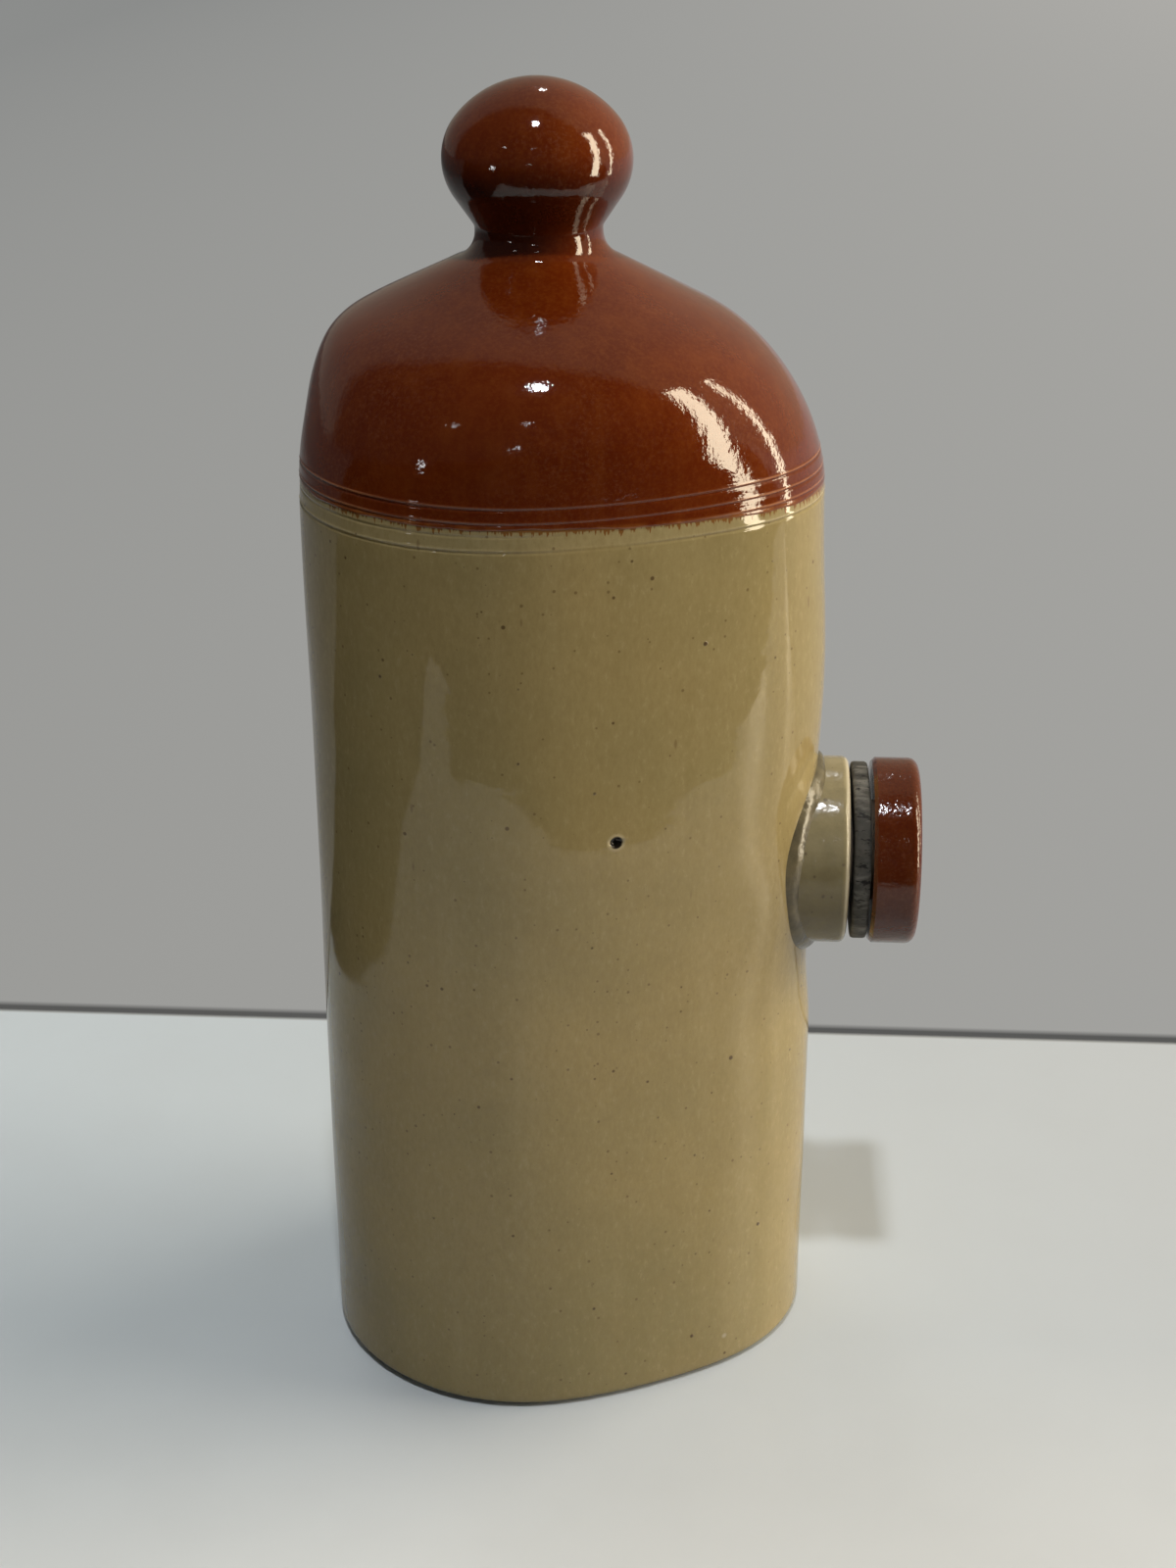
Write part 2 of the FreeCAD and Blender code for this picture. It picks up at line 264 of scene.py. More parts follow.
def body_point(angle, height, lift=0.0):
    """Point on the thrown form's skin, lifted outwards by some thickness of glaze."""
    share = smooth((SQUEEZE_HIGH - height) / (SQUEEZE_HIGH - SQUEEZE_LOW))
    shape = 1 + share * (SECTIONS[angle] / REACH_NECK - 1)
    radius = profile_radius(height) * shape + neck_swell(angle, height)
    radius += hand_wobble(angle, height) * smooth((0.27 - height) / 0.05) + lift
    radius -= groove(height, angle) + pit(angle, height)
    x = radius * math.cos(angle)
    y = radius * math.sin(angle)
    over = (x + REACH_UNDERSIDE) / UNDERSIDE_EASE
    if over < 30:
        x = UNDERSIDE_EASE * math.log1p(math.exp(over)) - REACH_UNDERSIDE
    return Vector((x + underside_push(angle, height), y, height))


def glaze_edge(angle):
    """Height of the brown glaze's lower edge, tilted and wavering."""
    tilt = GLAZE_TILT * math.cos(angle - GLAZE_TILT_TURN)
    waver = 0.00022 * math.sin(4 * angle + 1.0) + 0.00016 * math.sin(9 * angle + 2.3)
    ragged = 0.00008 * math.sin(23 * angle) + 0.00005 * math.sin(41 * angle + 1.7)
    return GLAZE_LINE + tilt + waver + ragged


def grid_mesh(name, rings, close_low=False, close_high=False):
    """Mesh object from rings of points, each ring as long as the others."""
    count = len(rings[0])
    points = [point for ring in rings for point in ring]
    faces = []
    for row in range(len(rings) - 1):
        for column in range(count):
            low = row * count + column
            beside = row * count + (column + 1) % count
            faces.append((low, beside, beside + count, low + count))
    if close_low:
        faces.append(tuple(reversed(range(count))))
    if close_high:
        first = (len(rings) - 1) * count
        faces.append(tuple(range(first, first + count)))
    mesh = bpy.data.meshes.new(name)
    mesh.from_pydata(points, [], faces)
    mesh.polygons.foreach_set("use_smooth", [True] * len(mesh.polygons))
    obj = bpy.data.objects.new(name, mesh)
    bpy.context.scene.collection.objects.link(obj)
    return obj


def open_at_neck(obj):
    """Takes out the faces that the filler neck passes through."""
    mesh = obj.data
    reach = [math.hypot(v.co.y, v.co.z - NECK_HEIGHT) if v.co.x > 0 else 1.0 for v in mesh.vertices]
    keep = [p for p in mesh.polygons if max(reach[i] for i in p.vertices) > NECK_HOLE]
    points = [v.co.copy() for v in mesh.vertices]
    faces = [tuple(p.vertices) for p in keep]
    mesh.clear_geometry()
    mesh.from_pydata(points, [], faces)
    mesh.polygons.foreach_set("use_smooth", [True] * len(mesh.polygons))
    mesh.update()


def heights_with_rings(low, high, step):
    """Heights from low to high, closer together where a turned line crosses."""
    levels = set(spaced(low, high, step))
    for level, _ in RINGS:
        levels.update(level + offset for offset in spaced(-0.0012, 0.0006, 0.00015))
    levels.update(PIT_HEIGHT + offset for offset in spaced(-0.0016, 0.0016, 0.0002))
    return sorted(level for level in levels if low <= level <= high)


def foot_lift(angle):
    """The foot warped in the kiln: on one side its edge stands just clear of the shelf."""
    return FOOT_LIFT * hump(signed_turn(angle - FOOT_LIFT_TURN), 0, FOOT_LIFT_SPREAD)


def foot_ring(share):
    """Ring of the rounded lower edge: share 0 is the standing face, 1 is where the wall goes up."""
    turn = share * math.pi / 2
    inset = BASE_ROUND * (1 - math.sin(turn))
    height = BASE_ROUND * (1 - math.cos(turn))
    return [body_point(angle, height + foot_lift(angle) * (1 - share), -inset) for angle in ANGLES]


def make_cream_skin():
    rings = [foot_ring(share) for share in spaced(GLAZED_FOOT, 1, 0.08)]
    for height in heights_with_rings(BASE_ROUND + 0.001, CREAM_TOP, 0.002):
        tuck = -0.0002 * smooth((height - CREAM_TUCK_START) / 0.001)
        rings.append([body_point(angle, height, tuck) for angle in ANGLES])
    skin = grid_mesh("cream_glaze_skin", rings)
    open_at_neck(skin)
    return skin


def make_underside():
    """The bare clay the bottle stands on, wiped clean of glaze."""
    rings = [foot_ring(share) for share in (GLAZED_FOOT, 0.15, 0.07, 0)]
    edge = rings[-1]
    for share in (0.96, 0.9, 0.84, 0.78, 0.7, 0.5, 0.3, 0.1):
        hollow = 0.0002 * smooth((1 - share) * 4)
        lifted = smooth((share - 0.7) / 0.26)
        rings.append([Vector((p.x * share, p.y * share, max(hollow, p.z * lifted))) for p in edge])
    rings.reverse()
    return grid_mesh("base_underside", rings, close_low=True)


def make_inner_wall():
    """Inside of the walls, seen through the neck when the stopper is out."""
    rings = []
    for height in spaced(BASE_THICKNESS, 0.235, 0.004):
        rings.append([body_point(angle, height, -WALL) for angle in ANGLES])
    wall = grid_mesh("inner_wall", rings, close_low=True, close_high=True)
    open_at_neck(wall)
    wall.data.flip_normals()
    return wall


def arc_points(centre_x, centre_z, radius, start, end, steps):
    return [circle_point(centre_x, centre_z, radius, start + (end - start) * i / steps)
            for i in range(steps + 1)]


def knob_outline():
    """Radius and height along the flared foot, waist, underside, side and crown of the knob."""
    foot_z, foot_radius = crown_top()
    waist_z = foot_z + WAIST_ROUND * math.cos(CROWN_SLOPE)
    under_z = waist_z + WAIST_RISE
    side_x = KNOB_RADIUS - KNOB_SIDE_RADIUS
    side_start = KNOB_UNDER_SLOPE - math.pi / 2
    under_run = side_x + KNOB_SIDE_RADIUS * math.cos(side_start) - WAIST_RADIUS
    side_z = under_z + under_run * math.tan(KNOB_UNDER_SLOPE) - KNOB_SIDE_RADIUS * math.sin(side_start)
    drop = math.sqrt((KNOB_TOP_RADIUS - KNOB_SIDE_RADIUS) ** 2 - side_x ** 2)
    side_end = math.atan2(drop, side_x)
    foot = arc_points(WAIST_RADIUS + WAIST_ROUND, waist_z, WAIST_ROUND,
                      math.pi * 1.5 - CROWN_SLOPE, math.pi, 10)
    side = arc_points(side_x, side_z, KNOB_SIDE_RADIUS, side_start, side_end, 26)
    crown = arc_points(0, side_z - drop, KNOB_TOP_RADIUS, side_end, math.pi / 2, 16)
    low = (WAIST_RADIUS, under_z)
    under = [(low[0] + (side[0][0] - low[0]) * t, low[1] + (side[0][1] - low[1]) * t)
             for t in (0.06, 0.2, 0.5, 0.8)]
    return foot + [(low[0], low[1] - 0.0003)] + under + side + crown[1:-1]


def make_brown_skin():
    """Brown glaze from its ragged lower edge up over the dome and the knob."""
    rings = []
    for share in spaced(0, 1, 0.06):
        ring = []
        for angle in ANGLES:
            low = glaze_edge(angle)
            rise = share * (BROWN_LEVEL - low)
            lift = 0.00028 * smooth((rise + 0.0001) / 0.0006) - 0.00012
            ring.append(body_point(angle, low + rise, lift))
        rings.append(ring)
    top_height, top_radius = crown_top()
    for height in heights_with_rings(BROWN_LEVEL + 0.0002, top_height - 0.0005, 0.0009):
        lift = 0.00016 - 0.0001 * smooth((height - BROWN_LEVEL) / 0.02)
        rings.append([body_point(angle, height, lift) for angle in ANGLES])
    for radius, height in knob_outline():
        lean = KNOB_LEAN * max(0.0, height - top_height)
        ring = []
        for angle in ANGLES:
            wobble = 1 + 0.004 * math.sin(2 * angle + 0.8) - 0.004
            ring.append(Vector((radius * wobble * math.cos(angle) + lean,
                                radius * wobble * math.sin(angle), height)))
        rings.append(ring)
    return grid_mesh("brown_glaze_skin", rings, close_high=True)


def wall_reach(y, z):
    """How far along X the wall's skin stands at a point beside the neck."""
    nose_x = REACH_NECK - NOSE_RADIUS
    x = nose_x + math.sqrt(NOSE_RADIUS ** 2 - y ** 2)
    angle = math.atan2(y, x)
    return x + neck_swell(angle, z) + hand_wobble(angle, z)


def make_luting_bead():
    """Roll of clay smoothed into the corner between wall and neck."""
    steps = 120
    rings = []
    for share in spaced(0, 1, 0.1):
        turn = share * math.pi / 2
        ring = []
        for step in range(steps):
            around = 2 * math.pi * step / steps
            waver = 1 + 0.12 * math.sin(3 * around + 0.5) + 0.08 * math.sin(7 * around)
            width = 0.0022 * waver
            spread = width * (1 - math.sin(turn)) * 0.9
            rise = width * (1 - math.cos(turn)) - 0.0002
            bulge = 0.0007 * math.sin(2 * turn)
            reach = NECK_RADIUS - 0.0001 + spread + bulge
            y = reach * math.cos(around)
            z = NECK_HEIGHT + reach * math.sin(around)
            ring.append(Vector((wall_reach(y, z) + rise + bulge, y, z)))
        rings.append(ring)
    return grid_mesh("luting_bead", rings)


def washer_outline(radius):
    """Reach and place along the axis, from the bore round the worn rim and back to the bore."""
    half = WASHER_THICKNESS / 2
    soft = WASHER_EDGE * 0.3
    near_side = [(WASHER_BORE, -half), (radius - WASHER_RIM, -half), (radius - WASHER_EDGE, -half),
                 (radius - soft, -half + soft), (radius, -half + WASHER_EDGE)]
    far_side = [(reach, -x) for reach, x in reversed(near_side)]
    return near_side + [(radius, 0)] + far_side


def make_worn_washer():
    """Perished rubber ring, thinner than new, that has slipped askew between lip and head."""
    low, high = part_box("rubber_washer")
    radius = (high[2] - low[2]) / 2 - 0.0002
    middle = Vector(((low[0] + high[0]) / 2 + 0.0001, 0, NECK_HEIGHT))
    steps = 180
    rings = []
    for reach, x in washer_outline(radius):
        ring = []
        for step in range(steps):
            around = 2 * math.pi * step / steps
            worn = math.sin(5 * around + 1) + 0.7 * math.sin(11 * around + 0.4)
            worn += 0.5 * math.sin(23 * around)
            far = reach - 0.00009 * (worn + 2.2) * smooth((reach - WASHER_BORE) / 0.005)
            across = far * math.sin(around)
            along = x + across * WASHER_TILT + 0.00012 * math.sin(3 * around)
            ring.append(middle + Vector((along, far * math.cos(around), across)))
        rings.append(ring)
    rings.append(rings[0])
    return grid_mesh("worn_washer", rings)


def node(tree, kind, inputs=None, **settings):
    """Adds a shader node, sets it up and links or fills its sockets."""
    new = tree.nodes.new(kind)
    for key, value in settings.items():
        setattr(new, key, value)
    for key, value in (inputs or {}).items():
        if isinstance(value, bpy.types.NodeSocket):
            tree.links.new(value, new.inputs[key])
        else:
            new.inputs[key].default_value = value
    return new


def start_material(name, **sockets):
    """A Principled material, its tree, its shader and its object coordinates."""
    material = bpy.data.materials.new(name)
    material.use_nodes = True
    tree = material.node_tree
    shader = tree.nodes["Principled BSDF"]
    for key, value in sockets.items():
        shader.inputs[key.replace("_", " ")].default_value = value
    place = node(tree, "ShaderNodeTexCoord").outputs["Object"]
    return material, tree, shader, place


def noise(tree, place, scale, detail=3.0, roughness=0.5, stretch=(1, 1, 1)):
    if stretch != (1, 1, 1):
        place = node(tree, "ShaderNodeMapping", {"Vector": place, "Scale": stretch}).outputs["Vector"]
    inputs = {"Vector": place, "Scale": scale, "Detail": detail, "Roughness": roughness}
    return node(tree, "ShaderNodeTexNoise", inputs).outputs["Fac"]


def remap(tree, value, low, high, to_low=0.0, to_high=1.0):
    inputs = {"Value": value, "From Min": low, "From Max": high, "To Min": to_low, "To Max": to_high}
    return node(tree, "ShaderNodeMapRange", inputs).outputs["Result"]


def blend(tree, share, one, other):
    mixer = node(tree, "ShaderNodeMix", data_type="RGBA")
    for index, value in ((0, share), (6, one), (7, other)):
        if isinstance(value, bpy.types.NodeSocket):
            tree.links.new(value, mixer.inputs[index])
        elif index == 0:
            mixer.inputs[index].default_value = value
        else:
            mixer.inputs[index].default_value = (*value, 1)
    return mixer.outputs[2]


def calc(tree, operation, one, other=0.0):
    return node(tree, "ShaderNodeMath", {0: one, 1: other}, operation=operation).outputs[0]


def specks(tree, place, scale, size, share, stretch=(1, 1, 1)):
    """Dots of many sizes in a share of the cells: 1 inside a dot, 0 outside. size is in cells."""
    if stretch != (1, 1, 1):
        place = node(tree, "ShaderNodeMapping", {"Vector": place, "Scale": stretch}).outputs["Vector"]
    cells = node(tree, "ShaderNodeTexVoronoi", {"Vector": place, "Scale": scale})
    channels = node(tree, "ShaderNodeSeparateColor", {"Color": cells.outputs["Color"]})
    grown = remap(tree, channels.outputs[0], 1 - share, 1, 0, size)
    inside = calc(tree, "SUBTRACT", grown, cells.outputs["Distance"])
    return remap(tree, inside, 0, size * 0.35)


def bump(tree, shader, layers):
    """Chains bump nodes: each layer is a height from 0 to 1 and its depth in metres."""
    normal = None
    for height, depth in layers:
        inputs = {"Height": height, "Distance": depth, "Strength": 1.0}
        if normal:
            inputs["Normal"] = normal
        normal = node(tree, "ShaderNodeBump", inputs).outputs["Normal"]
    tree.links.new(normal, shader.inputs["Normal"])


def edge_rise(tree, place):
    """Height of a point above the tilted line that the brown glaze's edge follows, in metres."""
    tilt = (GLAZE_TILT / 0.05 * math.cos(GLAZE_TILT_TURN), GLAZE_TILT / 0.05 * math.sin(GLAZE_TILT_TURN), -1)
    along = node(tree, "ShaderNodeVectorMath", {0: place, 1: tilt}, operation="DOT_PRODUCT").outputs["Value"]
    return calc(tree, "SUBTRACT", calc(tree, "MULTIPLY", along, -1), GLAZE_LINE)


def near(tree, place, point, inner, outer):
    """1 within an inner distance of a point, falling to 0 at an outer one."""
    away = node(tree, "ShaderNodeVectorMath", {0: place, 1: point}, operation="DISTANCE").outputs["Value"]
    return remap(tree, away, inner, outer, 1, 0)


def line_at(tree, height, level, width):
    """1 on a level line round the body, falling to 0 at half its width away."""
    away = calc(tree, "ABSOLUTE", calc(tree, "SUBTRACT", height, level))
    return remap(tree, away, width * 0.2, width / 2, 1, 0)


def lined_share(tree, place):
    """1 where the turned lines show, falling off where the glaze has filled them."""
    front = (math.cos(RING_WORN_TURN), math.sin(RING_WORN_TURN), 0)
    product = node(tree, "ShaderNodeVectorMath", {0: place, 1: front}, operation="DOT_PRODUCT")
    facing = product.outputs["Value"]
    return remap(tree, facing, 0.041, 0.048, 1, 0.12)


def cream_tone(tree, place, cloudy):
    """The cream's slow changes of colour, paler above the lowest turned line."""
    height = node(tree, "ShaderNodeSeparateXYZ", {"Vector": place}).outputs["Z"]
    broad = noise(tree, place, 14, 3)
    runs = noise(tree, place, 130, 3, 0.5, (1, 1, 0.12))
    colour = blend(tree, remap(tree, broad, 0.35, 0.65), (0.320, 0.240, 0.100), (0.265, 0.212, 0.092))
    colour = blend(tree, remap(tree, cloudy, 0.45, 0.75, 0, 0.35), colour, (0.240, 0.180, 0.072))
    colour = blend(tree, remap(tree, runs, 0.5, 0.8, 0, 0.3), colour, (0.365, 0.285, 0.135))
    level = RINGS[-1][0]
    thin = remap(tree, height, level - 0.0002, level + 0.0002, 0, 0.16)
    colour = blend(tree, thin, colour, (0.42, 0.35, 0.20))
    shown = calc(tree, "MULTIPLY", lined_share(tree, place), 0.5)
    ring = calc(tree, "MULTIPLY", line_at(tree, height, level, 0.0006), shown)
    return blend(tree, ring, colour, (0.45, 0.37, 0.21))


def cream_specks(tree, place, colour, coarse):
    """Iron specks of three sizes, short dark streaks and a fine grain."""
    fine = specks(tree, place, 480, 0.20, 0.55)
    middling = specks(tree, place, 280, 0.15, 0.40)
    streaks = specks(tree, place, 300, 0.16, 0.10, (1, 1, 0.3))
    grain = noise(tree, place, 900, 3, 0.7, (1, 1, 0.5))
    colour = blend(tree, remap(tree, grain, 0.45, 0.65, 0, 0.30), colour, (0.225, 0.165, 0.066))
    colour = blend(tree, remap(tree, grain, 0.42, 0.30, 0, 0.30), colour, (0.400, 0.320, 0.160))
    for dots, share, tint in ((fine, 0.65, (0.13, 0.080, 0.035)),
                              (streaks, 0.5, (0.16, 0.095, 0.045)),
                              (middling, 0.8, (0.075, 0.040, 0.018)),
                              (coarse, 0.85, (0.060, 0.030, 0.015))):
        colour = blend(tree, calc(tree, "MULTIPLY", dots, share), colour, tint)
    return colour


def cream_marks(tree, place, colour):
    """The burst bubble, the chip at the foot and the brown glaze's feathered edge."""
    rim = near(tree, place, PIT_POINT, PIT_RADIUS * 1.25, PIT_RADIUS * 1.7)
    colour = blend(tree, calc(tree, "MULTIPLY", rim, 0.5), colour, (0.50, 0.42, 0.26))
    # painted shade: the pit's hollow is near black
    pit_shade = near(tree, place, PIT_POINT, PIT_RADIUS * 0.95, PIT_RADIUS * 1.15)
    colour = blend(tree, pit_shade, colour, (0.012, 0.008, 0.005))
    chip = near(tree, place, CHIP_POINT, 0.0003, 0.0009)
    colour = blend(tree, chip, colour, (0.42, 0.36, 0.25))
    feathers = noise(tree, place, 1500, 2, 0.6, (1, 1, 0.04))
    reach = remap(tree, feathers, 0.47, 0.72, 0.0001, -0.0014)
    over = calc(tree, "SUBTRACT", edge_rise(tree, place), reach)
    stain = remap(tree, over, -0.0002, 0.0001)
    return blend(tree, stain, colour, (0.20, 0.085, 0.022))


def cream_glaze():
    material, tree, shader, place = start_material("cream_glaze", IOR=1.5)
    cloudy = noise(tree, place, 90, 4, 0.6)
    coarse = specks(tree, place, 140, 0.085, 0.45)
    colour = cream_tone(tree, place, cloudy)
    colour = cream_specks(tree, place, colour, coarse)
    colour = cream_marks(tree, place, colour)
    tree.links.new(colour, shader.inputs["Base Color"])
    tree.links.new(remap(tree, cloudy, 0.3, 0.7, 0.02, 0.05), shader.inputs["Roughness"])
    peel = noise(tree, place, 620, 2)
    waves = noise(tree, place, 110, 3)
    turned = noise(tree, place, 90, 2, 0.5, (0.05, 0.05, 1))
    swells = noise(tree, place, 24, 1)
    layers = ((swells, 0.0014), (turned, 0.0001), (waves, 0.00006), (peel, 0.00001), (coarse, 0.0001))
    bump(tree, shader, layers)
    return material


def brown_glaze(name, peel_depth, roughness, burnt):
    """Iron-brown glaze: burnt is the share by which it fired darker."""
    material, tree, shader, place = start_material(name, IOR=1.53)
    height = node(tree, "ShaderNodeSeparateXYZ", {"Vector": place}).outputs["Z"]
    broad = noise(tree, place, 22, 3)
    cloudy = noise(tree, place, 160, 4, 0.6)
    runs = noise(tree, place, 220, 3, 0.6, (1, 1, 0.15))
    grain = noise(tree, place, 1200, 3, 0.7)
    lighter = (0.112, 0.0160, 0.0016)
    darker = (0.092, 0.0120, 0.0012)
    colour = blend(tree, remap(tree, broad, 0.35, 0.65), lighter, darker)
    colour = blend(tree, remap(tree, cloudy, 0.45, 0.75, 0, 0.35), colour, (0.160, 0.034, 0.0045))
    colour = blend(tree, remap(tree, runs, 0.50, 0.75, 0, 0.20), colour, (0.185, 0.046, 0.0060))
    colour = blend(tree, remap(tree, grain, 0.45, 0.65, 0, 0.35), colour, (0.160, 0.036, 0.0050))
    colour = blend(tree, burnt, colour, (0.020, 0.006, 0.0025))
    # painted shade in the waist under the knob, where the glaze also gathered thick
    from_waist = calc(tree, "ABSOLUTE", calc(tree, "SUBTRACT", height, WAIST_SHADE_HEIGHT))
    waist_shade = remap(tree, from_waist, 0.003, 0.010, 0.75, 0)
    colour = blend(tree, waist_shade, colour, (0.028, 0.004, 0.0006))
    edge = edge_rise(tree, place)
    thin = calc(tree, "MULTIPLY", line_at(tree, edge, 0.0, 0.0024), remap(tree, runs, 0.35, 0.65, 0.0, 0.7))
    colour = blend(tree, thin, colour, (0.26, 0.085, 0.015))
    lined = lined_share(tree, place)
    patches = noise(tree, place, 45, 3)
    for level, _ in RINGS[:-1]:
        line = calc(tree, "MULTIPLY", line_at(tree, height, level, 0.0006), lined)
        ridge = calc(tree, "MULTIPLY", line, remap(tree, patches, 0.35, 0.6, 0.15, 0.7))
        colour = blend(tree, ridge, colour, (0.38, 0.15, 0.060))
    dust = noise(tree, place, 1300, 3, 0.7)
    dusty = calc(tree, "MULTIPLY", remap(tree, dust, 0.50, 0.68), remap(tree, patches, 0.4, 0.7, 0.0, 0.12))
    colour = blend(tree, dusty, colour, (0.34, 0.16, 0.09))
    tree.links.new(colour, shader.inputs["Base Color"])
    tree.links.new(remap(tree, cloudy, 0.3, 0.7, *roughness), shader.inputs["Roughness"])
    peel = noise(tree, place, 900, 2)
    waves = noise(tree, place, 120, 2)
    bump(tree, shader, ((waves, 0.00009), (peel, peel_depth)))
    return material


def grey_glaze():
    material, tree, shader, place = start_material("grey_glaze", IOR=1.5)
    axes = node(tree, "ShaderNodeSeparateXYZ", {"Vector": place}).outputs
    cloudy = noise(tree, place, 180, 4, 0.6)
    # painted light: the neck's glaze is lighter towards its top, where the ceiling lamps light it
    pale = remap(tree, axes["Z"], NECK_HEIGHT - 0.004, NECK_HEIGHT + 0.014)
    colour = blend(tree, pale, (0.185, 0.150, 0.072), (0.300, 0.250, 0.135))
    colour = blend(tree, remap(tree, cloudy, 0.40, 0.75, 0, 0.6), colour, (0.150, 0.120, 0.060))
    fine = specks(tree, place, 500, 0.3, 0.4)
    colour = blend(tree, calc(tree, "MULTIPLY", fine, 0.6), colour, (0.09, 0.065, 0.045))
    lip = remap(tree, axes["X"], LIP_X - 0.0011, LIP_X - 0.0005)
    colour = blend(tree, calc(tree, "MULTIPLY", lip, 0.8), colour, (0.55, 0.48, 0.33))
    tree.links.new(colour, shader.inputs["Base Color"])
    tree.links.new(remap(tree, cloudy, 0.3, 0.7, 0.10, 0.22), shader.inputs["Roughness"])
    peel = noise(tree, place, 700, 2)
    waves = noise(tree, place, 160, 2)
    bump(tree, shader, ((waves, 0.00025), (peel, 0.00006)))
    return material


def luting_clay_painted_shade():
    """Half-glazed clay pressed into the corner between wall and neck, painted dark for the shade in that
    corner.
    """
    material, tree, shader, place = start_material("luting_clay_painted_shade", IOR=1.5)
    cloudy = noise(tree, place, 240, 4, 0.6)
    # painted shade: both colours of the bead are dark for the shade in the corner
    colour = blend(tree, remap(tree, cloudy, 0.35, 0.7), (0.075, 0.062, 0.036), (0.140, 0.115, 0.062))
    tree.links.new(colour, shader.inputs["Base Color"])
    tree.links.new(remap(tree, cloudy, 0.3, 0.7, 0.08, 0.25), shader.inputs["Roughness"])
    grain = noise(tree, place, 700, 3)
    bump(tree, shader, ((cloudy, 0.0002), (grain, 0.00006)))
    return material


def old_rubber():
    material, tree, shader, place = start_material("old_rubber", Specular_IOR_Level=0.35)
    cloudy = noise(tree, place, 260, 5, 0.65)
    scuffs = noise(tree, place, 420, 4, 0.6, (0.3, 1, 1))
    stains = noise(tree, place, 90, 3)
    colour = blend(tree, remap(tree, cloudy, 0.35, 0.7), (0.040, 0.038, 0.032), (0.085, 0.080, 0.068))
    colour = blend(tree, remap(tree, scuffs, 0.52, 0.66, 0, 0.75), colour, (0.19, 0.18, 0.155))
    colour = blend(tree, remap(tree, stains, 0.55, 0.75, 0, 0.35), colour, (0.11, 0.085, 0.05))
    cracks = remap(tree, noise(tree, place, 700, 3, 0.7, (0.35, 1, 1)), 0.36, 0.42, 1, 0)
    colour = blend(tree, cracks, colour, (0.010, 0.009, 0.008))
    tree.links.new(colour, shader.inputs["Base Color"])
    tree.links.new(remap(tree, stains, 0.3, 0.7, 0.55, 0.8), shader.inputs["Roughness"])
    grain = noise(tree, place, 1100, 3, 0.6)
    bump(tree, shader, ((scuffs, 0.0003), (grain, 0.0001)))
    return material


def bare_clay(name, one, other):
    material, tree, shader, place = start_material(name, Specular_IOR_Level=0.3)
    cloudy = noise(tree, place, 140, 5, 0.6)
    colour = blend(tree, remap(tree, cloudy, 0.35, 0.7), one, other)
    fine = specks(tree, place, 450, 0.3, 0.4)
    colour = blend(tree, calc(tree, "MULTIPLY", fine, 0.7), colour, (0.10, 0.07, 0.05))
    tree.links.new(colour, shader.inputs["Base Color"])
    tree.links.new(remap(tree, cloudy, 0.3, 0.7, 0.6, 0.85), shader.inputs["Roughness"])
    grain = noise(tree, place, 900, 3, 0.7)
    bump(tree, shader, ((cloudy, 0.00025), (grain, 0.00012)))
    return material


def dress(obj, material):
    obj.data.materials.clear()
    obj.data.materials.append(material)


def add_piece(obj, material, slot, *nodes, body="bottle"):
    dress(obj, material)
    if nodes:
        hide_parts(*nodes)
    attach(obj, body)


def dress_bottle(frame):
    cream = cream_glaze()
    brown = brown_glaze("brown_glaze", 0.00004, (0.04, 0.08), 0.0)
    grey = grey_glaze()
    bare = bare_clay("bare_stoneware", (0.36, 0.30, 0.22), (0.28, 0.225, 0.16))
    base = bare_clay("bare_base", (0.42, 0.35, 0.25), (0.33, 0.265, 0.18))
    add_piece(make_cream_skin(), cream, "cream_glaze", "body_barrel")
    add_piece(make_brown_skin(), brown, "brown_glaze", "shoulder_dome", "knob_handle")
    add_piece(make_underside(), base, "bare_base", "base_slab")
    add_piece(make_inner_wall(), bare, "bare_stoneware")
    add_piece(make_luting_bead(), luting_clay_painted_shade(), "grey_glaze", "luting_roll")
    nodes = frame["nodes"]
    dress(nodes["filler_neck"], grey)
    # painted shade: the shank's clay is dark so that the gaps beside the washer look shaded
    shank_shade_clay = bare_clay("shank_clay_painted_shade", (0.15, 0.115, 0.080), (0.095, 0.075, 0.052))
    dress(nodes["stopper_shank"], shank_shade_clay)
    dress(nodes["stopper_head"], brown_glaze("stopper_glaze", 0.00010, (0.06, 0.14), 0.35))
    add_piece(make_worn_washer(), old_rubber(), "old_rubber", "rubber_washer", body="washer")


# Camera
CAMERA_PLACE = (0.03963, -0.47130, 0.33620)
CAMERA_PITCH = math.radians(23.341)
CAMERA_YAW = math.radians(-3.650)
CAMERA_ROLL = math.radians(-0.164)
CAMERA_LENS = 52.84
CAMERA_FILM = 36


def add_camera():
    """Camera at the photograph's viewing angle, a little above the bottle and to its right."""
    flat = math.cos(CAMERA_PITCH)
    ahead = Vector((math.sin(CAMERA_YAW) * flat, math.cos(CAMERA_YAW) * flat, -math.sin(CAMERA_PITCH)))
    level = Vector((math.cos(CAMERA_YAW), -math.sin(CAMERA_YAW), 0))
    above = level.cross(ahead)
    right = math.cos(CAMERA_ROLL) * level + math.sin(CAMERA_ROLL) * above
    up = -math.sin(CAMERA_ROLL) * level + math.cos(CAMERA_ROLL) * above
    data = bpy.data.cameras.new("photo_camera")
    data.sensor_fit = "VERTICAL"
    data.sensor_height = CAMERA_FILM
    data.lens = CAMERA_LENS
    data.clip_start = 0.01
    data.clip_end = 100
    camera = bpy.data.objects.new("photo_camera", data)
    turned = Matrix((right, up, -ahead)).transposed()
    camera.matrix_world = Matrix.Translation(CAMERA_PLACE) @ turned.to_4x4()
    bpy.context.scene.collection.objects.link(camera)
    bpy.context.scene.camera = camera


